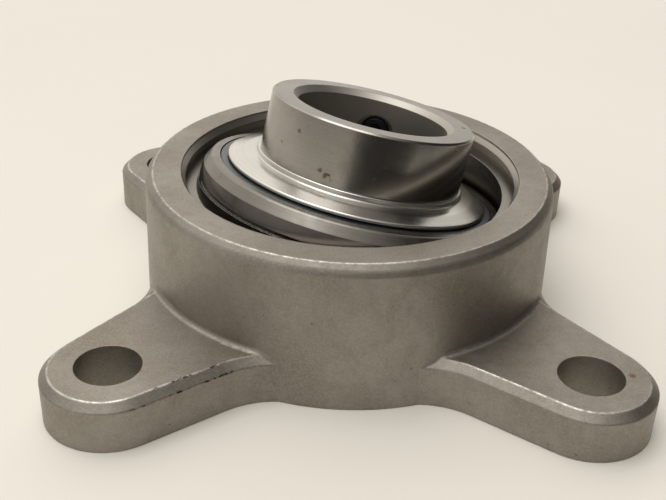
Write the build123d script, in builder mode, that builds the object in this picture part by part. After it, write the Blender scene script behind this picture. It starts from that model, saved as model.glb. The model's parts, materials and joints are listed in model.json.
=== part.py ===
"""Four-bolt flange bearing unit, 206 size: a cast housing with a self-aligning ball bearing insert.

Origin: centre of the mounting face. +Z: away from the machine wall, along the housing's axis.
The insert stands swivelled in its spherical seat, as these units are found before a shaft is fitted.
Lengths are in millimetres and angles in degrees.
"""

import os
from math import acos, asin, cos, degrees, radians, sin, sqrt, tan

from build123d import *

# ---------------------------------------------------------------- driving dimensions
# Housing
bolt_square = 83.0  # hole to hole, along X and along Y
bolt_hole_radius = 5.85
flange_thickness = 9.3
arm_end_radius = 11.7
arm_taper = 9.0  # each side of an arm widens towards the boss by this angle
arm_root_blend = 15.0
arm_bevel = 1.45
boss_base_radius = 40.5
boss_top_radius = 40.0
boss_height = 28.85
boss_bevel = 1.4
boss_rim_round = 0.25
boss_shoulder_round = 2.0  # where the boss's bevel turns into its wall
cast_edge = 0.4  # rounding along the arms' bevels
root_fillet = 1.0  # between an arm's top and the boss wall
rim_inner_radius = 33.2
rim_step = 0.45  # straight wall from the rim down to the lip
lip_radius = 32.3  # edge that an end cover snaps under
lip_height = 27.3
lip_undercut = 0.25
cover_groove_radius = 33.5
ledge_height = 25.2
ledge_radius = 30.55
ledge_chamfer = 0.35
back_bore_radius = 30.2
slot_width = 16.4  # loading slots, a little wider than the insert's outer ring
slot_radius = 31.3

# Insert: place and attitude in the housing
ball_height = 18.0  # from the mounting face to the centre of the spherical seat
lean_angle = 14.2
lean_direction = 36.6  # azimuth of the lean, from +X towards +Y

# Insert: rings
seat_clearance = 0.05
sphere_radius = 31.0
outer_half_width = 7.5
outer_flank_foot = 5.44  # height at which the sphere ends and the conical flank starts
outer_flank_top_radius = 29.2
outer_edge_round = 0.8
outer_land_radius = 26.3
feed_azimuth = 53.0  # of the grease feed hole, about the insert's axis
feed_radius = 0.6
feed_exit_radius = 25.0  # where the feed hole comes out, above the balls
feed_exit_height = 4.7
seal_bore_radius = 27.7
seal_bore_depth = 1.6
grease_groove_offset = 2.4
grease_groove_width = 0.9
grease_groove_depth = 0.55
bore_radius = 15.0
collar_radius = 20.2
collar_top = 22.2  # from the ball centre to the face with the set screws
short_side = 8.0  # from the ball centre to the other face
bore_chamfer_top = 1.15
bore_chamfer_bottom = 0.8
collar_edge = 0.35

# Insert: balls and cage
ball_count = 9
ball_radius = 9.525 / 2
pitch_radius = 23.0
race_radius = 4.95
race_clearance = 0.04
cage_sheet = 0.6
cage_inner_radius = 21.2
cage_outer_radius = 24.9
pocket_radius = ball_radius + 0.15
rivet_radius = 0.8
rivet_head_radius = 1.5
rivet_head_height = 0.6
rivet_head_round = 0.4

# Insert: seals and slinger
shell_sheet = 0.5
shell_top = 7.4
shell_bend = 0.3
shell_inner_radius = 22.6
lip_inner_radius = collar_radius + 0.06
lip_root_radius = lip_inner_radius + 1.2
lip_depth = 0.9
lip_rise = 0.25  # of the upper lip over its shell
lip_bond = 1.4  # width of the rubber under its shell
lip_notch_width = 0.7  # between the two lips
slinger_hub_radius = 20.8
slinger_hub_top = 10.65
slinger_hub_bottom = 8.3
slinger_hub_round = 0.25
slinger_knee_radius = 23.2  # where its gentle slope turns into the steeper cone
slinger_knee_height = 9.3
slinger_knee_round = 4.5
slinger_inner_slope = 6.5
slinger_outer_slope = 18.0
slinger_rim_radius = 26.3
slinger_rim_round = 0.4
slinger_sheet = 0.55

# Set screws, M6 x 5 with a hexagon socket and a cup point
screw_radius = 3.0
screw_hole_radius = screw_radius + 0.05
screw_length = 5.0
screw_below_face = 7.6
screw_countersink = 0.4  # where each screw hole meets the bore
screw_tip_radius = 15.3  # the tip stands this far from the bore's axis
screw_chamfer = 0.6
screw_cup_radius = 1.5
screw_cup_depth = 0.8
screw_azimuths = (42.5, -19.5)  # about the insert's axis, from its lean direction
socket_width = 3.0
socket_depth = 2.4

# Grease nipple, M6, on a pad between two arms
nipple_height = 20.4
nipple_pad_radius = 6.0
nipple_pad_face = 41.2  # distance of the pad's face from the housing's axis
nipple_pad_depth = 5.0
nipple_feed_radius = 1.25
nipple_feed_depth = 12.0
nipple_thread_radius = 3.0
nipple_thread_length = 5.5
nipple_hole_spare = 0.5  # the threaded hole is deeper by this
nipple_hex_width = 7.0
nipple_hex_height = 3.0
nipple_neck_radius = 2.3
nipple_head_radius = 3.2
nipple_head_start = 5.3
nipple_head_end = 6.1
nipple_head_undercut = 0.7
nipple_mouth_radius = 0.75
nipple_tip = 8.0
nipple_tip_radius = 1.75
nipple_tip_edge = 0.25
check_ball_radius = 1.0
check_ball_centre = 6.9
spring_coil_radius = 0.8
spring_wire_radius = 0.15
spring_pitch = 0.85

# ---------------------------------------------------------------- frames
lean = Location((0, 0, 0), (0, lean_angle, 0))
insert = Plane(Location((0, 0, ball_height), (0, 0, lean_direction)) * lean)
insert_axis = Axis(insert.origin, insert.z_dir)
meridian = Plane(origin=insert.origin, x_dir=insert.x_dir, z_dir=-insert.y_dir)  # local X radial, Y axial
nipple_plane = Plane(origin=(0, nipple_pad_face, nipple_height), x_dir=(1, 0, 0), z_dir=(0, 1, 0))
ball_angles = [360 * index / ball_count for index in range(ball_count)]

os.makedirs("parts", exist_ok=True)


def save(builder, name):
    """Label the finished piece and write it to its STEP file."""
    builder.part.label = name
    export_step(builder.part, f"parts/{name}.step")


def level_edges(builder, height):
    """Edges of the piece that lie level at a height above the mounting face."""
    return builder.edges().filter_by_position(Axis.Z, height - 0.01, height + 0.01).filter_by(
        lambda e: e.bounding_box().size.Z < 0.01
    )


# ---------------------------------------------------------------- housing
bolt_circle_radius = bolt_square / sqrt(2)
side_reach = arm_end_radius * cos(radians(arm_taper))
side_start = bolt_circle_radius + arm_end_radius * sin(radians(arm_taper))
root_distance = 30.0  # inside the boss
root_half_width = side_reach + (side_start - root_distance) * tan(radians(arm_taper))
arm_tip = bolt_circle_radius + arm_end_radius

with BuildSketch() as arm:
    with BuildLine():
        Polyline((side_start, side_reach), (root_distance, root_half_width))
        Polyline((root_distance, root_half_width), (root_distance, -root_half_width))
        Polyline((root_distance, -root_half_width), (side_start, -side_reach))
        ThreePointArc((side_start, -side_reach), (arm_tip, 0), (side_start, side_reach))
    make_face()

with BuildSketch() as flange_outline:
    Circle(boss_top_radius)
    with PolarLocations(0, 4, start_angle=45):
        add(arm.sketch)
    roots = [
        v
        for v in flange_outline.vertices()
        if abs(Vector(v).length - boss_top_radius) < 0.01 and min(abs(v.X), abs(v.Y)) > 1
    ]
    fillet(roots, radius=arm_root_blend)

with BuildPart() as housing:
    # Flange plate with its four bolt arms, bevelled and rounded along the top
    add(flange_outline.sketch)
    extrude(amount=flange_thickness)
    chamfer(housing.faces().sort_by(Axis.Z)[-1].edges(), length=arm_bevel)
    fillet(housing.faces().sort_by(Axis.Z)[-1].edges(), radius=cast_edge)
    fillet(level_edges(housing, flange_thickness - arm_bevel), radius=cast_edge)
    # Boss, drawn as a revolved section with draft on its wall
    with BuildSketch(Plane.XZ) as boss_section:
        shoulder = (boss_top_radius, boss_height - boss_bevel)
        rim_edge = (boss_top_radius - boss_bevel, boss_height)
        with BuildLine():
            Polyline((0, 0), (boss_base_radius, 0), shoulder, rim_edge, (0, boss_height), close=True)
        make_face()
        fillet(boss_section.vertices().sort_by_distance(shoulder)[0], radius=boss_shoulder_round)
        fillet(boss_section.vertices().sort_by_distance(rim_edge)[0], radius=boss_rim_round)
    revolve(axis=Axis.Z)
    boss_foot = level_edges(housing, flange_thickness).filter_by(GeomType.CIRCLE)
    fillet(boss_foot.filter_by(lambda e: e.radius > boss_top_radius), radius=root_fillet)
    # Pad for the grease nipple
    with BuildSketch(nipple_plane):
        Circle(nipple_pad_radius)
    extrude(amount=-nipple_pad_depth)
    # Spherical seat, cover groove and rim, open at both ends
    with BuildSketch(Plane.XZ):
        seat_radius = sphere_radius + seat_clearance
        seat_top_radius = ledge_radius - ledge_chamfer
        seat_low_angle = -degrees(acos(back_bore_radius / seat_radius))
        seat_high_angle = degrees(acos(seat_top_radius / seat_radius))
        seat_low = ball_height + seat_radius * sin(radians(seat_low_angle))
        seat_high = ball_height + seat_radius * sin(radians(seat_high_angle))
        with BuildLine():
            Polyline((0, -1), (back_bore_radius, -1), (back_bore_radius, seat_low))
            CenterArc((0, ball_height), seat_radius, seat_low_angle, seat_high_angle - seat_low_angle)
            Polyline(
                (seat_top_radius, seat_high),
                (ledge_radius, ledge_height),
                (cover_groove_radius, ledge_height),
                (cover_groove_radius, lip_height - lip_undercut),
                (lip_radius, lip_height),
                (rim_inner_radius, boss_height - rim_step),
                (rim_inner_radius, boss_height + 1),
                (0, boss_height + 1),
                (0, -1),
            )
        make_face()
    revolve(axis=Axis.Z, mode=Mode.SUBTRACT)
    # Two loading slots from the mounting face, through which the insert goes in edge on
    with BuildSketch():
        Rectangle(2 * slot_radius + 4, slot_width)
        Circle(slot_radius, mode=Mode.INTERSECT)
    extrude(amount=ball_height, mode=Mode.SUBTRACT)
    # Bolt holes
    with BuildSketch():
        with GridLocations(bolt_square, bolt_square, 2, 2):
            Circle(bolt_hole_radius)
    extrude(amount=flange_thickness, mode=Mode.SUBTRACT)
    # Threaded hole for the nipple and the feed hole behind it
    with BuildSketch(nipple_plane):
        Circle(nipple_thread_radius)
    extrude(amount=-nipple_thread_length - nipple_hole_spare, mode=Mode.SUBTRACT)
    with BuildSketch(nipple_plane):
        Circle(nipple_feed_radius)
    extrude(amount=-nipple_feed_depth, mode=Mode.SUBTRACT)
save(housing, "housing")

# ---------------------------------------------------------------- grease nipple
nipple_section = Plane(nipple_plane.origin)  # local X across the nipple, local Y along it
nipple_axis = Axis(nipple_plane.origin, nipple_plane.z_dir)
passage_radius = 0.7
chamber_radius = 1.15
chamber_floor = 2.0
chamber_top = 7.2

with BuildPart() as grease_nipple:
    with BuildSketch(nipple_plane):
        Circle(nipple_thread_radius)
    extrude(amount=-nipple_thread_length)
    with BuildSketch(nipple_plane):
        RegularPolygon(nipple_hex_width / 2, 6, major_radius=False, rotation=30)
    extrude(amount=nipple_hex_height)
    # Neck and coupler head
    with BuildSketch(nipple_section):
        with BuildLine():
            Polyline(
                (0, nipple_hex_height),
                (nipple_neck_radius, nipple_hex_height),
                (nipple_neck_radius, nipple_head_start - nipple_head_undercut),
                (nipple_head_radius, nipple_head_start),
                (nipple_head_radius, nipple_head_end),
                (nipple_tip_radius, nipple_tip - nipple_tip_edge),
                (nipple_tip_radius - nipple_tip_edge, nipple_tip),
                (0, nipple_tip),
                close=True,
            )
        make_face()
    revolve(axis=nipple_axis)
    # Passage, the check ball's chamber and the mouth that the ball closes
    with BuildSketch(nipple_section):
        with BuildLine():
            Polyline(
                (0, -nipple_thread_length),
                (passage_radius, -nipple_thread_length),
                (passage_radius, chamber_floor),
                (chamber_radius, chamber_floor),
                (chamber_radius, chamber_top),
                (nipple_mouth_radius, chamber_top + chamber_radius - nipple_mouth_radius),
                (nipple_mouth_radius, nipple_tip),
                (0, nipple_tip),
                close=True,
            )
        make_face()
    revolve(axis=nipple_axis, mode=Mode.SUBTRACT)
save(grease_nipple, "grease_nipple")

with BuildPart(nipple_plane.offset(check_ball_centre)) as nipple_ball:
    Sphere(check_ball_radius)
save(nipple_ball, "nipple_ball")

spring_start = chamber_floor + spring_wire_radius + 0.02
spring_end = check_ball_centre - check_ball_radius + spring_wire_radius
with BuildPart() as nipple_spring:
    with BuildLine():
        coil = Helix(
            pitch=spring_pitch,
            height=spring_end - spring_start,
            radius=spring_coil_radius,
            center=nipple_plane.offset(spring_start).origin,
            direction=nipple_plane.z_dir,
        )
    with BuildSketch(Plane(origin=coil @ 0, z_dir=coil % 0)):
        Circle(spring_wire_radius)
    sweep(path=coil)
save(nipple_spring, "nipple_spring")

# ---------------------------------------------------------------- outer ring
outer_race_centre = pitch_radius + ball_radius + race_clearance - race_radius
outer_race_angle = degrees(acos((outer_land_radius - outer_race_centre) / race_radius))
outer_race_edge = race_radius * sin(radians(outer_race_angle))
flank_angle = degrees(asin(outer_flank_foot / sphere_radius))
flank_foot_radius = sqrt(sphere_radius**2 - outer_flank_foot**2)

with BuildPart() as outer_ring:
    with BuildSketch(meridian) as ring_section:
        with BuildLine():
            CenterArc((outer_race_centre, 0), race_radius, 0, outer_race_angle)
            Polyline(
                (outer_land_radius, outer_race_edge),
                (outer_land_radius, outer_half_width - seal_bore_depth),
                (seal_bore_radius, outer_half_width - seal_bore_depth),
                (seal_bore_radius, outer_half_width),
                (outer_flank_top_radius, outer_half_width),
                (flank_foot_radius, outer_flank_foot),
            )
            CenterArc((0, 0), sphere_radius, flank_angle, -flank_angle)
            mirror(about=Plane.XZ)
        make_face()
        flank_tops = ring_section.vertices().filter_by(lambda v: abs(v.X - outer_flank_top_radius) < 0.01)
        fillet(flank_tops, radius=outer_edge_round)
    revolve(axis=insert_axis)
    # Grease groove round the sphere, and the feed hole from it to the balls
    with BuildSketch(meridian):
        with Locations((sphere_radius, grease_groove_offset)):
            Rectangle(2 * grease_groove_depth, grease_groove_width)
    revolve(axis=insert_axis, mode=Mode.SUBTRACT)
    feed_start, feed_end = (
        insert.from_local_coords(Vector(radius, 0, height).rotate(Axis.Z, feed_azimuth))
        for radius, height in ((sphere_radius, grease_groove_offset), (feed_exit_radius, feed_exit_height))
    )
    with BuildSketch(Plane(origin=feed_start, z_dir=feed_end - feed_start)):
        Circle(feed_radius)
    extrude(amount=(feed_end - feed_start).length, mode=Mode.SUBTRACT)
save(outer_ring, "outer_ring")

# ---------------------------------------------------------------- inner ring
inner_race_centre = pitch_radius - ball_radius - race_clearance + race_radius
inner_race_half_angle = degrees(acos((inner_race_centre - collar_radius) / race_radius))
inner_race_edge = race_radius * sin(radians(inner_race_half_angle))
screw_height = collar_top - screw_below_face


def screw_plane(azimuth):
    """Plane across a set screw at the insert's axis, with its normal pointing out along the screw."""
    return Plane(insert * Location((0, 0, screw_height), (0, 0, azimuth)) * Location((0, 0, 0), (0, 90, 0)))


with BuildPart() as inner_ring:
    with BuildSketch(meridian):
        with BuildLine():
            Polyline(
                (collar_radius, inner_race_edge),
                (collar_radius, collar_top - collar_edge),
                (collar_radius - collar_edge, collar_top),
                (bore_radius + bore_chamfer_top, collar_top),
                (bore_radius, collar_top - bore_chamfer_top),
                (bore_radius, bore_chamfer_bottom - short_side),
                (bore_radius + bore_chamfer_bottom, -short_side),
                (collar_radius - collar_edge, -short_side),
                (collar_radius, collar_edge - short_side),
                (collar_radius, -inner_race_edge),
            )
            CenterArc(
                (inner_race_centre, 0), race_radius, 180 + inner_race_half_angle, -2 * inner_race_half_angle
            )
        make_face()
    revolve(axis=insert_axis)
    for azimuth in screw_azimuths:
        with BuildSketch(screw_plane(azimuth)):
            Circle(screw_hole_radius)
        extrude(amount=collar_radius + 2, mode=Mode.SUBTRACT)
        # Countersink, deep enough to run out into the curved bore
        with BuildSketch(screw_plane(azimuth).offset(bore_radius - 2 * screw_countersink)):
            Circle(screw_hole_radius + 3 * screw_countersink)
        extrude(amount=3 * screw_countersink, taper=45, mode=Mode.SUBTRACT)
save(inner_ring, "inner_ring")

# ---------------------------------------------------------------- set screws
for number, azimuth in enumerate(screw_azimuths, start=1):
    tip = screw_plane(azimuth).offset(screw_tip_radius)
    with BuildPart() as set_screw:
        with BuildSketch(tip):
            Circle(screw_radius)
        extrude(amount=screw_length)
        chamfer(set_screw.edges().filter_by(GeomType.CIRCLE), length=screw_chamfer)
        with BuildSketch(tip.offset(screw_length)):
            RegularPolygon(socket_width / 2, 6, major_radius=False)
        extrude(amount=-socket_depth, mode=Mode.SUBTRACT)
        with BuildSketch(tip):
            Circle(screw_cup_radius)
        extrude(amount=screw_cup_depth, taper=45, mode=Mode.SUBTRACT)
    save(set_screw, f"set_screw_{number}")

# ---------------------------------------------------------------- balls
for number, angle in enumerate(ball_angles, start=1):
    with BuildPart(insert * Location((0, 0, 0), (0, 0, angle)) * Location((pitch_radius, 0, 0))) as ball:
        Sphere(ball_radius)
    save(ball, f"ball_{number}")


# ---------------------------------------------------------------- cage
def cage_half(side):
    """One pressed half of the ribbon cage; side is 1 towards the collar and -1 away from it."""
    with BuildPart(insert) as half:
        with PolarLocations(pitch_radius, ball_count):
            Sphere(pocket_radius + cage_sheet)
        with BuildSketch(insert):
            Circle(cage_outer_radius)
            Circle(cage_inner_radius, mode=Mode.SUBTRACT)
        extrude(amount=side * (pocket_radius + 2), mode=Mode.INTERSECT)
        with BuildSketch(insert):
            Circle(cage_outer_radius)
            Circle(cage_inner_radius, mode=Mode.SUBTRACT)
        extrude(amount=side * cage_sheet)
        with PolarLocations(pitch_radius, ball_count):
            Sphere(pocket_radius, mode=Mode.SUBTRACT)
        with BuildSketch(insert):
            with PolarLocations(pitch_radius, ball_count, start_angle=180 / ball_count):
                Circle(rivet_radius)
        extrude(amount=side * cage_sheet, mode=Mode.SUBTRACT)
    return half


save(cage_half(1), "cage_upper")
save(cage_half(-1), "cage_lower")

with BuildPart() as cage_rivets:
    with BuildSketch(insert):
        with PolarLocations(pitch_radius, ball_count, start_angle=180 / ball_count):
            Circle(rivet_radius)
    extrude(amount=cage_sheet, both=True)
    for side in (1, -1):
        with BuildSketch(insert.offset(side * cage_sheet)):
            with PolarLocations(pitch_radius, ball_count, start_angle=180 / ball_count):
                Circle(rivet_head_radius)
        extrude(amount=side * rivet_head_height)
    head_rims = cage_rivets.edges().filter_by(GeomType.CIRCLE).filter_by(
        lambda e: abs(abs(insert.to_local_coords(e.center()).Z) - cage_sheet - rivet_head_height) < 0.01
    )
    fillet(head_rims, radius=rivet_head_round)
save(cage_rivets, "cage_rivets")


# ---------------------------------------------------------------- seals
def seal_shell(side):
    """Pressed steel shell held in the outer ring's seal bore."""
    with BuildPart() as shell:
        with BuildSketch(meridian):
            with BuildLine():
                Polyline(
                    (seal_bore_radius, side * (outer_half_width - seal_bore_depth)),
                    (seal_bore_radius, side * (shell_top - shell_bend)),
                    (seal_bore_radius - shell_bend, side * shell_top),
                    (shell_inner_radius, side * shell_top),
                    (shell_inner_radius, side * (shell_top - shell_sheet)),
                    (seal_bore_radius - shell_sheet, side * (shell_top - shell_sheet)),
                    (seal_bore_radius - shell_sheet, side * (outer_half_width - seal_bore_depth)),
                    close=True,
                )
            make_face()
        revolve(axis=insert_axis)
    return shell


def seal_lip(side):
    """Rubber seal bonded to the shell's inner edge, with two lips towards the inner ring."""
    lip_under = shell_top - lip_depth
    notch_middle = shell_top - lip_depth / 2
    bond_radius = shell_inner_radius + lip_bond
    with BuildPart() as lip:
        with BuildSketch(meridian):
            with BuildLine():
                Polyline(
                    (shell_inner_radius, side * (shell_top - shell_sheet)),
                    (shell_inner_radius, side * shell_top),
                    (lip_root_radius, side * (shell_top + lip_rise / 2)),
                    (lip_inner_radius, side * (shell_top + lip_rise)),
                    (lip_inner_radius, side * shell_top),
                    (lip_inner_radius + lip_notch_width, side * notch_middle),
                    (lip_inner_radius, side * lip_under),
                    (lip_inner_radius, side * (lip_under - lip_rise / 2)),
                    (lip_root_radius, side * lip_under),
                    (bond_radius, side * lip_under),
                    (bond_radius, side * (shell_top - shell_sheet)),
                    close=True,
                )
            make_face()
        revolve(axis=insert_axis)
    return lip


for side, place in ((1, "upper"), (-1, "lower")):
    save(seal_shell(side), f"seal_shell_{place}")
    save(seal_lip(side), f"seal_lip_{place}")

# ---------------------------------------------------------------- slinger
inner_slope = radians(slinger_inner_slope)
outer_slope = radians(slinger_outer_slope)
knee_slope = (inner_slope + outer_slope) / 2
foot_height = slinger_knee_height + (slinger_knee_radius - slinger_hub_radius) * tan(inner_slope)
rim_height = slinger_knee_height - (slinger_rim_radius - slinger_knee_radius) * tan(outer_slope)

with BuildPart() as slinger:
    with BuildSketch(meridian) as slinger_section:
        hub_corner = (slinger_hub_radius, slinger_hub_top)
        foot = (slinger_hub_radius, foot_height)
        knee = (slinger_knee_radius, slinger_knee_height)
        rim = (slinger_rim_radius, rim_height)
        knee_under = Vector(knee) - slinger_sheet * Vector(sin(knee_slope), cos(knee_slope))
        with BuildLine():
            Polyline(
                (collar_radius, slinger_hub_bottom),
                (collar_radius, slinger_hub_top),
                hub_corner,
                foot,
                knee,
                rim,
                Vector(rim) - slinger_sheet * Vector(sin(outer_slope), cos(outer_slope)),
                knee_under,
                (slinger_hub_radius, foot_height - slinger_sheet),
                (slinger_hub_radius, slinger_hub_bottom),
                close=True,
            )
        make_face()
        for corner, corner_round in (
            (hub_corner, slinger_hub_round),
            (foot, slinger_hub_round),
            (knee, slinger_knee_round),
            (knee_under, slinger_knee_round + slinger_sheet),
            (rim, slinger_rim_round),
        ):
            fillet(slinger_section.vertices().sort_by_distance(corner)[0], radius=corner_round)
    revolve(axis=insert_axis)
save(slinger, "slinger")
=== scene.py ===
"""Looks of the flange bearing unit: a cast and blasted stainless housing with a swivelled ball bearing insert.

Everything is in metres, in the frame of the CAD model: origin at the centre of the mounting face, +Z up.
"""

import json
from functools import partial
from math import cos, radians, sin, sqrt, tan

import bpy
from mathutils import Matrix, Vector


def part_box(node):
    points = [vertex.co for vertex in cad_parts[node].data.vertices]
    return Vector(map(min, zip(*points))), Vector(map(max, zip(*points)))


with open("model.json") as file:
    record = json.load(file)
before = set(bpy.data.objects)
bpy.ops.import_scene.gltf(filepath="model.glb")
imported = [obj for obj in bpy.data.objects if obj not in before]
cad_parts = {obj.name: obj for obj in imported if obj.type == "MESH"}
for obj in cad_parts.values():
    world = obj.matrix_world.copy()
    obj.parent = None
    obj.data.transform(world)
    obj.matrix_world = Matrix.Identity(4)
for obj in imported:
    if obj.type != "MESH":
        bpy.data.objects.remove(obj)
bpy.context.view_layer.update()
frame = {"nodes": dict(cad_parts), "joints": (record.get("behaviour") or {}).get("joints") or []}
MM = 0.001

# ---------------------------------------------------------------- places, from the frame
joints = {joint["name"]: joint for joint in frame["joints"]}
INSERT_CENTRE = Vector(joints["shaft_spin"]["pos_m"])
INSERT_AXIS = Vector(joints["shaft_spin"]["axis"]).normalized()
RIM_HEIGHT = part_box("housing")[1][2]
RIM_EDGE = 38.6 * MM

# Radii and heights of the CAD model where one finish changes to another; below the seat's top the housing's
# turned inside is painted darker as painted shade
RIM_INSIDE = 33.25 * MM
GROOVE_INSIDE = 33.6 * MM
SEAT_TOP = 25.1 * MM
SPHERE_HALF_HEIGHT = 5.40 * MM
BORE_FINISH = 16.1 * MM
COLLAR_FACE = 22.18 * MM

# Arm outline of the CAD model: end radius, distance of its centre from the axis, taper of its sides
ARM_END = 11.7 * MM
ARM_CENTRE = 83.0 * MM / sqrt(2)
ARM_TAPER = radians(9.0)
ARM_TOP = 9.3 * MM
ARM_BEVEL = 1.45 * MM


# ---------------------------------------------------------------- node helpers
class Nodes:
    """A node tree built with short calls. A number, a tuple or a socket can be given for any input."""

    def __init__(self, tree):
        self.tree = tree

    def node(self, kind, **settings):
        node = self.tree.nodes.new(kind)
        for key, value in settings.items():
            setattr(node, key, value)
        return node

    def put(self, socket, value):
        if isinstance(value, bpy.types.NodeSocket):
            self.tree.links.new(value, socket)
        else:
            socket.default_value = value

    def math(self, operation, a, b=0.0, clamp=False):
        node = self.node("ShaderNodeMath", operation=operation, use_clamp=clamp)
        self.put(node.inputs[0], a)
        self.put(node.inputs[1], b)
        return node.outputs[0]

    def vector(self, operation, a, b=(0.0, 0.0, 0.0)):
        node = self.node("ShaderNodeVectorMath", operation=operation)
        self.put(node.inputs[0], a)
        self.put(node.inputs[1], b)
        return node.outputs["Value"] if operation in ("DOT_PRODUCT", "LENGTH", "DISTANCE") else node.outputs[0]

    def span(self, value, low, high, to_low=0.0, to_high=1.0):
        """Value mapped smoothly from low..high to to_low..to_high and held at both ends."""
        node = self.node("ShaderNodeMapRange", interpolation_type="SMOOTHSTEP")
        for socket, given in zip(node.inputs, (value, low, high, to_low, to_high)):
            self.put(socket, given)
        return node.outputs[0]

    def noise(self, scale, detail=3.0, roughness=0.55, at=None, distortion=0.0):
        node = self.node("ShaderNodeTexNoise")
        self.put(node.inputs["Vector"], self.position if at is None else at)
        node.inputs["Scale"].default_value = scale
        node.inputs["Detail"].default_value = detail
        node.inputs["Roughness"].default_value = roughness
        node.inputs["Distortion"].default_value = distortion
        return node.outputs["Fac"]

    def mix(self, factor, a, b):
        node = self.node("ShaderNodeMix", data_type="RGBA")
        self.put(node.inputs[0], factor)
        self.put(node.inputs[6], a)
        self.put(node.inputs[7], b)
        return node.outputs[2]

    def lerp(self, factor, a, b):
        node = self.node("ShaderNodeMix", data_type="FLOAT")
        self.put(node.inputs[0], factor)
        self.put(node.inputs[2], a)
        self.put(node.inputs[3], b)
        return node.outputs[0]

    def near(self, value, centre, width):
        """1 where a value is at its centre, 0 from a width away."""
        return self.span(self.math("ABSOLUTE", self.math("SUBTRACT", value, centre)), 0.0, width, 1.0, 0.0)


class Shader(Nodes):
    """One material with a principled surface."""

    def __init__(self, name):
        self.material = bpy.data.materials.new(name)
        self.material.use_nodes = True
        super().__init__(self.material.node_tree)
        self.bsdf = self.tree.nodes["Principled BSDF"]
        self.position = self.node("ShaderNodeTexCoord").outputs["Object"]

    def about_axis(self, centre, axis):
        """(distance from an axis, distance along it) as sockets."""
        offset = self.vector("SUBTRACT", self.position, tuple(centre))
        along = self.vector("DOT_PRODUCT", offset, tuple(axis))
        across = self.vector("CROSS_PRODUCT", offset, tuple(axis))
        return self.vector("LENGTH", across), along

    def rings(self, radius, along, pitch, detail=4.0):
        """Turning marks: noise that changes with the distance from an axis and along it, not round it."""
        place = self.node("ShaderNodeCombineXYZ")
        self.put(place.inputs[0], self.math("DIVIDE", radius, pitch))
        self.put(place.inputs[1], self.math("DIVIDE", along, pitch))
        return self.noise(1.0, detail=detail, at=place.outputs[0])

    def edges(self, radius):
        """(mask of the sharp edges, normal rounded over them) for a rounding radius."""
        rounded = self.node("ShaderNodeBevel", samples=4)
        rounded.inputs["Radius"].default_value = radius
        true_normal = self.node("ShaderNodeNewGeometry").outputs["Normal"]
        turn = self.math("SUBTRACT", 1.0, self.vector("DOT_PRODUCT", rounded.outputs[0], true_normal))
        return self.span(turn, 0.01, 0.12), rounded.outputs[0]

    def brushed_round(self, centre, axis, amount):
        """Anisotropic gloss along the turning marks of a surface turned about an axis."""
        offset = self.vector("SUBTRACT", self.position, tuple(centre))
        tangent = self.node(
            "ShaderNodeVectorTransform", vector_type="VECTOR", convert_from="OBJECT", convert_to="WORLD"
        )
        self.put(tangent.inputs[0], self.vector("NORMALIZE", self.vector("CROSS_PRODUCT", tuple(axis), offset)))
        self.put(self.bsdf.inputs["Tangent"], tangent.outputs[0])
        self.bsdf.inputs["Anisotropic"].default_value = amount

    def bump(self, height, depth, normal=None):
        """Bump of a height of 0..1, depth metres deep."""
        node = self.node("ShaderNodeBump")
        node.inputs["Distance"].default_value = depth
        self.put(node.inputs["Height"], height)
        if normal is not None:
            self.put(node.inputs["Normal"], normal)
        return node.outputs[0]

    def surface(self, color, roughness, normal=None, metallic=1.0):
        self.put(self.bsdf.inputs["Base Color"], color)
        self.put(self.bsdf.inputs["Roughness"], roughness)
        self.put(self.bsdf.inputs["Metallic"], metallic)
        if normal is not None:
            self.put(self.bsdf.inputs["Normal"], normal)
        return self.material


def rgb(red, green, blue):
    return (red, green, blue, 1.0)


# ---------------------------------------------------------------- materials
SKIN_DARK, SKIN_LIGHT = rgb(0.245, 0.220, 0.186), rgb(0.335, 0.310, 0.272)
RUB_PLACE = (-27.0 * MM, -43.5 * MM, 8.6 * MM)
RUST_PLACE = (48.7 * MM, -41.3 * MM, 9.3 * MM)
# Centre and size of each larger mark on the inner ring
COLLAR_MARKS = (
    ((-9.9 * MM, -11.5 * MM, 40.7 * MM), 0.8 * MM),
    ((-6.1 * MM, -15.8 * MM, 35.0 * MM), 0.8 * MM),
    ((-5.2 * MM, -16.4 * MM, 34.1 * MM), 0.7 * MM),
    ((22.3 * MM, 4.2 * MM, 35.7 * MM), 1.0 * MM),
)


def arm_depth(shader):
    """Distance inside the outline of the four arms, seen from above: 0 on the outline, more inside."""
    parts = shader.node("ShaderNodeSeparateXYZ")
    shader.put(parts.inputs[0], shader.position)
    across = [shader.math("ABSOLUTE", parts.outputs[i]) for i in range(2)]
    out = shader.math("MULTIPLY", shader.math("ADD", *across), 1 / sqrt(2))
    aside = shader.math("ABSOLUTE", shader.math("MULTIPLY", shader.math("SUBTRACT", *across), 1 / sqrt(2)))
    side_start = ARM_CENTRE + ARM_END * sin(ARM_TAPER)
    widening = shader.math("MULTIPLY", shader.math("SUBTRACT", side_start, out), tan(ARM_TAPER))
    half_width = shader.math("ADD", widening, ARM_END * cos(ARM_TAPER))
    side_depth = shader.math("MULTIPLY", shader.math("SUBTRACT", half_width, aside), cos(ARM_TAPER))
    place = shader.node("ShaderNodeCombineXYZ")
    shader.put(place.inputs[0], shader.math("SUBTRACT", out, ARM_CENTRE))
    shader.put(place.inputs[1], aside)
    end_depth = shader.math("SUBTRACT", ARM_END, shader.vector("LENGTH", place.outputs[0]))
    return shader.lerp(shader.math("GREATER_THAN", out, side_start), side_depth, end_depth)


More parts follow.
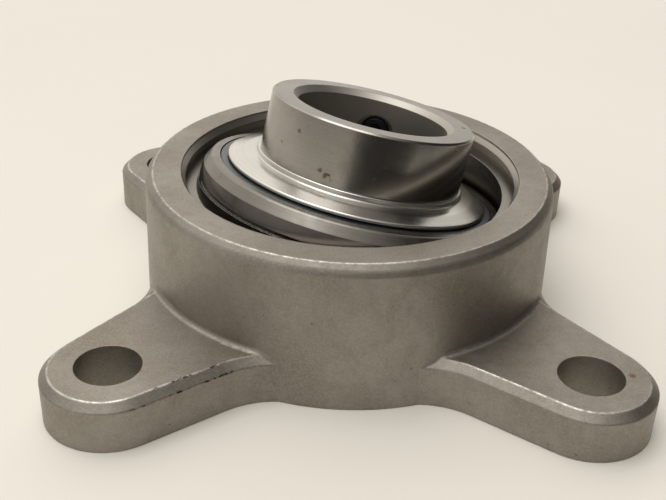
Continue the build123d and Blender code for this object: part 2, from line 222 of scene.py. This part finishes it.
def cast_stainless():
    """Blasted casting with nicked edges, faint stains, a turned seat painted darker as painted shade, and
    drilled holes.
    """
    shader = Shader("cast_stainless")
    times, most = (partial(shader.math, name) for name in ("MULTIPLY", "MAXIMUM"))
    radius, height = shader.about_axis((0, 0, 0), (0, 0, 1))
    depth = arm_depth(shader)
    # Blasted skin: soft patches, brown stains, a mottle and a fine grain
    grain = shader.noise(2600, detail=4, roughness=0.75)
    mottle = shader.noise(560, detail=4, roughness=0.65)
    stain = shader.span(shader.noise(42, detail=6, roughness=0.65, distortion=0.8), 0.52, 0.75)
    cast = shader.mix(shader.span(shader.noise(60, detail=5), 0.3, 0.7), SKIN_DARK, SKIN_LIGHT)
    cast = shader.mix(shader.span(mottle, 0.40, 0.75, 0.0, 0.16), cast, rgb(0.20, 0.18, 0.155))
    cast = shader.mix(times(stain, 0.35), cast, rgb(0.20, 0.155, 0.100))
    cast = shader.mix(shader.span(grain, 0.35, 0.75, 0.0, 0.5), cast, rgb(0.45, 0.43, 0.395))
    pits = shader.span(shader.noise(1300, detail=2, roughness=0.6), 0.70, 0.76)
    cast = shader.mix(times(pits, 0.6), cast, rgb(0.06, 0.05, 0.04))
    # Edges: the rim's outer edge and both edges of the arms' bevels, rubbed bright in nicks
    edge, rounded = shader.edges(0.25 * MM)
    rim = times(shader.near(radius, RIM_EDGE, 0.40 * MM), shader.near(height, RIM_HEIGHT, 0.30 * MM))
    bevel_top = times(shader.near(depth, ARM_BEVEL, 0.40 * MM), shader.near(height, ARM_TOP, 0.35 * MM))
    bevel_foot = times(shader.near(depth, 0.0, 0.40 * MM), shader.near(height, ARM_TOP - ARM_BEVEL, 0.35 * MM))
    nicks = shader.span(shader.noise(700, detail=4, roughness=0.7), 0.36, 0.64, 0.1, 1.0)
    worn = times(most(most(rim, bevel_top), times(edge, 0.7)), nicks)
    cast = shader.mix(times(worn, 0.7), cast, rgb(0.70, 0.68, 0.635))
    # Black rub marks along the bevel of one arm
    rubbed = shader.span(shader.vector("DISTANCE", shader.position, RUB_PLACE), 17 * MM, 7 * MM)
    marks = shader.span(shader.noise(520, detail=5, roughness=0.75), 0.50, 0.58)
    rub = times(times(most(bevel_top, bevel_foot), marks), rubbed)
    cast = shader.mix(rub, cast, rgb(0.016, 0.014, 0.013))
    rust = shader.span(shader.vector("DISTANCE", shader.position, RUST_PLACE), 0.9 * MM, 0.3 * MM)
    cast = shader.mix(times(rust, 0.7), cast, rgb(0.16, 0.07, 0.04))
    # The turned inside: lip, cover groove, ledge and seat, with painted shade on the seat
    inside = shader.span(radius, RIM_INSIDE + 0.1 * MM, RIM_INSIDE)
    below_rim = shader.span(height, RIM_HEIGHT - 0.1 * MM, RIM_HEIGHT - 0.3 * MM)
    groove = times(shader.span(radius, GROOVE_INSIDE + 0.2 * MM, GROOVE_INSIDE), below_rim)
    inside = most(inside, groove)
    rings = shader.rings(radius, height, 0.15 * MM)
    turned = shader.mix(rings, rgb(0.32, 0.30, 0.265), rgb(0.46, 0.44, 0.40))
    # Painted shade: the seat deep inside the housing gets a much darker copy of the turned colour, for the
    # shade that falls there
    seat_painted_shade = shader.span(height, SEAT_TOP + 0.2 * MM, SEAT_TOP)
    turned = shader.mix(seat_painted_shade, turned, shader.mix(rings, rgb(0.13, 0.12, 0.105), rgb(0.22, 0.205, 0.185)))
    color = shader.mix(inside, cast, turned)
    roughness = shader.span(mottle, 0.25, 0.75, 0.48, 0.58)
    roughness = shader.lerp(worn, roughness, 0.34)
    roughness = shader.lerp(inside, roughness, 0.32)
    pebble = shader.lerp(0.45, shader.noise(1500, detail=5, roughness=0.8), mottle)
    relief = shader.lerp(inside, pebble, times(rings, 0.2))
    return shader.surface(color, roughness, shader.bump(relief, 0.05 * MM, rounded))


def insert_steel(name, low, high, roughness, pitch, depth, gloss):
    """Steel turned or ground about the insert's axis, with fine rings and a little haze."""
    shader = Shader(name)
    radius, along = shader.about_axis(INSERT_CENTRE, INSERT_AXIS)
    rings = shader.rings(radius, along, pitch)
    haze = shader.noise(160, detail=4)
    color = shader.mix(rings, rgb(*low), rgb(*high))
    rough = shader.math("ADD", shader.span(haze, 0.3, 0.7, 0.0, 0.08), roughness)
    shader.brushed_round(INSERT_CENTRE, INSERT_AXIS, gloss)
    return shader.surface(color, rough, shader.bump(rings, depth))


def ring_steel():
    """Outer ring: a dark polished sphere between two ground flanks and faces, with painted highlights along its
    edges.
    """
    shader = Shader("ground_steel")
    radius, along = shader.about_axis(INSERT_CENTRE, INSERT_AXIS)
    level = shader.math("ABSOLUTE", along)
    ground = shader.span(level, SPHERE_HALF_HEIGHT, SPHERE_HALF_HEIGHT + 0.06 * MM)
    rings = shader.rings(radius, along, 0.12 * MM)
    haze = shader.noise(300, detail=5, roughness=0.65)
    sphere = shader.mix(haze, rgb(0.13, 0.12, 0.115), rgb(0.19, 0.175, 0.165))
    flank = shader.mix(rings, rgb(0.17, 0.16, 0.145), rgb(0.28, 0.267, 0.242))
    flank = shader.mix(shader.span(haze, 0.5, 0.75, 0.0, 0.4), flank, rgb(0.17, 0.145, 0.115))
    color = shader.mix(ground, sphere, flank)
    polish = shader.span(haze, 0.3, 0.7, 0.20, 0.28)
    rough = shader.lerp(ground, polish, shader.span(haze, 0.3, 0.7, 0.26, 0.36))
    # Painted highlights: bright lines painted where the flank meets the sphere and along the grease groove
    edge, rounded = shader.edges(0.1 * MM)
    color = shader.mix(shader.math("MULTIPLY", edge, 0.7), color, rgb(0.72, 0.69, 0.67))
    return shader.surface(color, rough, shader.bump(rings, 0.002 * MM, rounded))


def collar_steel():
    """Inner ring: fine turned collar with rub marks and rust spots, a duller bore and painted highlights along
    its edges.
    """
    shader = Shader("turned_steel")
    radius, along = shader.about_axis(INSERT_CENTRE, INSERT_AXIS)
    rings = shader.rings(radius, along, 0.16 * MM, detail=5)
    cloud = shader.noise(120, detail=5, roughness=0.6)
    color = shader.mix(rings, rgb(0.27, 0.255, 0.235), rgb(0.41, 0.392, 0.365))
    color = shader.mix(shader.span(cloud, 0.42, 0.72, 0.0, 0.4), color, rgb(0.24, 0.212, 0.18))
    bore = shader.span(radius, BORE_FINISH + 0.1 * MM, BORE_FINISH)
    color = shader.mix(bore, color, shader.mix(cloud, rgb(0.36, 0.34, 0.31), rgb(0.46, 0.44, 0.40)))
    face = shader.span(along, COLLAR_FACE - 0.08 * MM, COLLAR_FACE, 0.0, 0.75)
    color = shader.mix(face, color, rgb(0.20, 0.19, 0.175))
    # Rust: a few small spots anywhere, and the larger marks on the side and the face
    spots = shader.math("MULTIPLY", shader.span(shader.noise(620, detail=4, roughness=0.65), 0.665, 0.72), 0.7)
    ragged = shader.noise(1400, detail=4)
    for place, size in COLLAR_MARKS:
        away = shader.vector("DISTANCE", shader.position, place)
        away = shader.math("SUBTRACT", away, shader.math("MULTIPLY", ragged, size * 1.2))
        spots = shader.math("MAXIMUM", spots, shader.span(away, 0.15 * size, -0.3 * size, 0.0, 0.6))
    color = shader.mix(spots, color, rgb(0.075, 0.045, 0.03))
    # Painted highlight: the edges painted lighter, as bright lines along them
    edge, rounded = shader.edges(0.2 * MM)
    color = shader.mix(shader.math("MULTIPLY", edge, 0.35), color, rgb(0.62, 0.60, 0.57))
    rough = shader.lerp(bore, shader.span(cloud, 0.3, 0.7, 0.17, 0.25), 0.46)
    rough = shader.lerp(spots, rough, 0.6)
    shader.brushed_round(INSERT_CENTRE, INSERT_AXIS, 0.35)
    return shader.surface(color, rough, shader.bump(rings, 0.004 * MM, rounded))


def plain_steel(name, low, high, roughness):
    """Small steel pieces: plating or polish with a little haze."""
    shader = Shader(name)
    haze = shader.noise(900, detail=4)
    rough = shader.span(haze, 0.3, 0.7, roughness, roughness + 0.1)
    return shader.surface(shader.mix(haze, rgb(*low), rgb(*high)), rough, shader.bump(haze, 0.004 * MM))


def seal_rubber():
    """Black rubber with a fine matt grain."""
    shader = Shader("seal_rubber")
    grain = shader.noise(3500, detail=3)
    rough = shader.span(grain, 0.3, 0.7, 0.5, 0.68)
    color = shader.mix(grain, rgb(0.012, 0.012, 0.013), rgb(0.03, 0.03, 0.032))
    return shader.surface(color, rough, shader.bump(grain, 0.01 * MM), metallic=0.0)


def black_oxide():
    """Blackened steel of the set screws, with a slight haze."""
    shader = Shader("black_oxide")
    haze = shader.noise(1200, detail=4)
    rough = shader.span(haze, 0.3, 0.7, 0.28, 0.42)
    color = shader.mix(haze, rgb(0.012, 0.013, 0.018), rgb(0.04, 0.042, 0.052))
    return shader.surface(color, rough, shader.bump(haze, 0.006 * MM), metallic=0.7)


def give(material, *nodes):
    """Put a material on the slots of CAD nodes."""
    for node in nodes:
        for slot in frame["nodes"][node].material_slots:
            slot.material = material


pressed_steel = insert_steel(
    "pressed_steel", (0.60, 0.59, 0.565), (0.72, 0.71, 0.68), 0.19, pitch=0.5 * MM, depth=0.001 * MM, gloss=0.1
)
give(cast_stainless(), "housing")
give(ring_steel(), "outer_ring")
give(collar_steel(), "inner_ring")
give(pressed_steel, "slinger", "cage_upper", "cage_lower", "cage_rivets")
seal_steel = insert_steel(
    "seal_steel", (0.12, 0.13, 0.14), (0.20, 0.215, 0.225), 0.38, pitch=0.3 * MM, depth=0.002 * MM, gloss=0.2
)
give(seal_steel, "seal_shell_upper", "seal_shell_lower")
give(seal_rubber(), "seal_lip_upper", "seal_lip_lower")
give(black_oxide(), "set_screw_1", "set_screw_2")
ball_steel = plain_steel("ball_steel", (0.66, 0.66, 0.67), (0.74, 0.74, 0.75), 0.08)
balls = [name for name in frame["nodes"] if name.startswith("ball_")]
give(ball_steel, "nipple_ball", *balls)
give(plain_steel("plated_steel", (0.50, 0.47, 0.38), (0.66, 0.64, 0.56), 0.3), "grease_nipple", "nipple_spring")


# ---------------------------------------------------------------- floor, light and camera
# Glows of the room: azimuth, elevation, angle at which each fades out, angle within which it is full, strength
GLOWS = (
    (-150, 58, 80, 15, 0.75),
    (102, 25, 64, 12, 1.0),
)
ROOM_DARK = 0.05
FLOOR_REACH = 12.0
FLOOR_LEVEL = -0.0001
# Border between the two parts of the floor, from the far left, round in front of the object, to the far right
FLOOR_BORDER = ((-4.8, -FLOOR_REACH), (-0.03, -0.13), (0.10, -0.10), (0.11, 0.02), (FLOOR_REACH, 4.0))
EYE = (-7.64 * MM, -183.53 * MM, 112.48 * MM)
YAW, PITCH, ROLL = radians(1.52), radians(-29.26), radians(2.15)


def floor():
    """A plain pale floor. Its part in front of the object and to the right is left out of reflections."""
    shader = Shader("floor")
    cloud = shader.noise(9, detail=4, at=shader.node("ShaderNodeNewGeometry").outputs["Position"])
    color = shader.mix(cloud, rgb(0.80, 0.775, 0.715), rgb(0.84, 0.815, 0.755))
    material = shader.surface(color, 0.7, metallic=0.0)
    shader.bsdf.inputs["Specular IOR Level"].default_value = 0.2
    far = FLOOR_REACH
    for name, outline, mirrored in (
        ("floor", (*FLOOR_BORDER, (far, far), (-far, far), (-far, -far)), True),
        ("floor_front", (*reversed(FLOOR_BORDER), (far, -far)), False),
    ):
        mesh = bpy.data.meshes.new(name)
        mesh.from_pydata([(x, y, FLOOR_LEVEL) for x, y in outline], [], [range(len(outline))])
        mesh.materials.append(material)
        plane = bpy.data.objects.new(name, mesh)
        plane.visible_glossy = mirrored
        bpy.context.collection.objects.link(plane)


def toward(azimuth, elevation):
    """Unit vector toward a direction given in degrees."""
    turn, lift = radians(azimuth), radians(elevation)
    return Vector((cos(turn) * cos(lift), sin(turn) * cos(lift), sin(lift)))


def area_light(name, azimuth, elevation, distance, size, power, color):
    """A square softbox that faces the object from a direction."""
    away = toward(azimuth, elevation)
    data = bpy.data.lights.new(name, "AREA")
    data.size = size
    data.energy = power
    data.color = color
    light = bpy.data.objects.new(name, data)
    light.location = away * distance
    light.rotation_euler = away.to_track_quat("Z", "Y").to_euler()
    bpy.context.collection.objects.link(light)


def room():
    """Soft light of the room: bright high up and to the left and behind, dark towards the front and right."""
    world = bpy.data.worlds.new("studio")
    world.use_nodes = True
    nodes = Nodes(world.node_tree)
    direction = nodes.node("ShaderNodeTexCoord").outputs["Generated"]
    light = ROOM_DARK
    for azimuth, elevation, edge, core, strength in GLOWS:
        facing = nodes.vector("DOT_PRODUCT", direction, tuple(toward(azimuth, elevation)))
        glow = nodes.span(facing, cos(radians(edge)), cos(radians(core)), 0.0, strength)
        light = nodes.math("ADD", glow, light)
    background = world.node_tree.nodes["Background"]
    background.inputs["Color"].default_value = rgb(1.0, 0.95, 0.87)
    nodes.put(background.inputs["Strength"], light)
    bpy.context.scene.world = world


def camera():
    """The viewpoint: in front, a little to the left and well above, with a slight roll."""
    ahead = Vector((sin(YAW) * cos(PITCH), cos(YAW) * cos(PITCH), sin(PITCH)))
    level = Vector((cos(YAW), -sin(YAW), 0))
    above = level.cross(ahead)
    right = cos(ROLL) * level + sin(ROLL) * above
    up = -sin(ROLL) * level + cos(ROLL) * above
    data = bpy.data.cameras.new("camera")
    data.sensor_width = 36.0
    data.lens = 55.0
    data.clip_start = 0.005
    eye = bpy.data.objects.new("camera", data)
    turned = Matrix((right, up, -ahead)).transposed().to_4x4()
    eye.matrix_world = Matrix.Translation(EYE) @ turned
    bpy.context.collection.objects.link(eye)
    bpy.context.scene.camera = eye


floor()
room()
area_light("ceiling", -150, 78, distance=2.0, size=1.5, power=18.0, color=(1.0, 0.985, 0.965))
camera()
bpy.context.scene.view_settings.view_transform = "Standard"
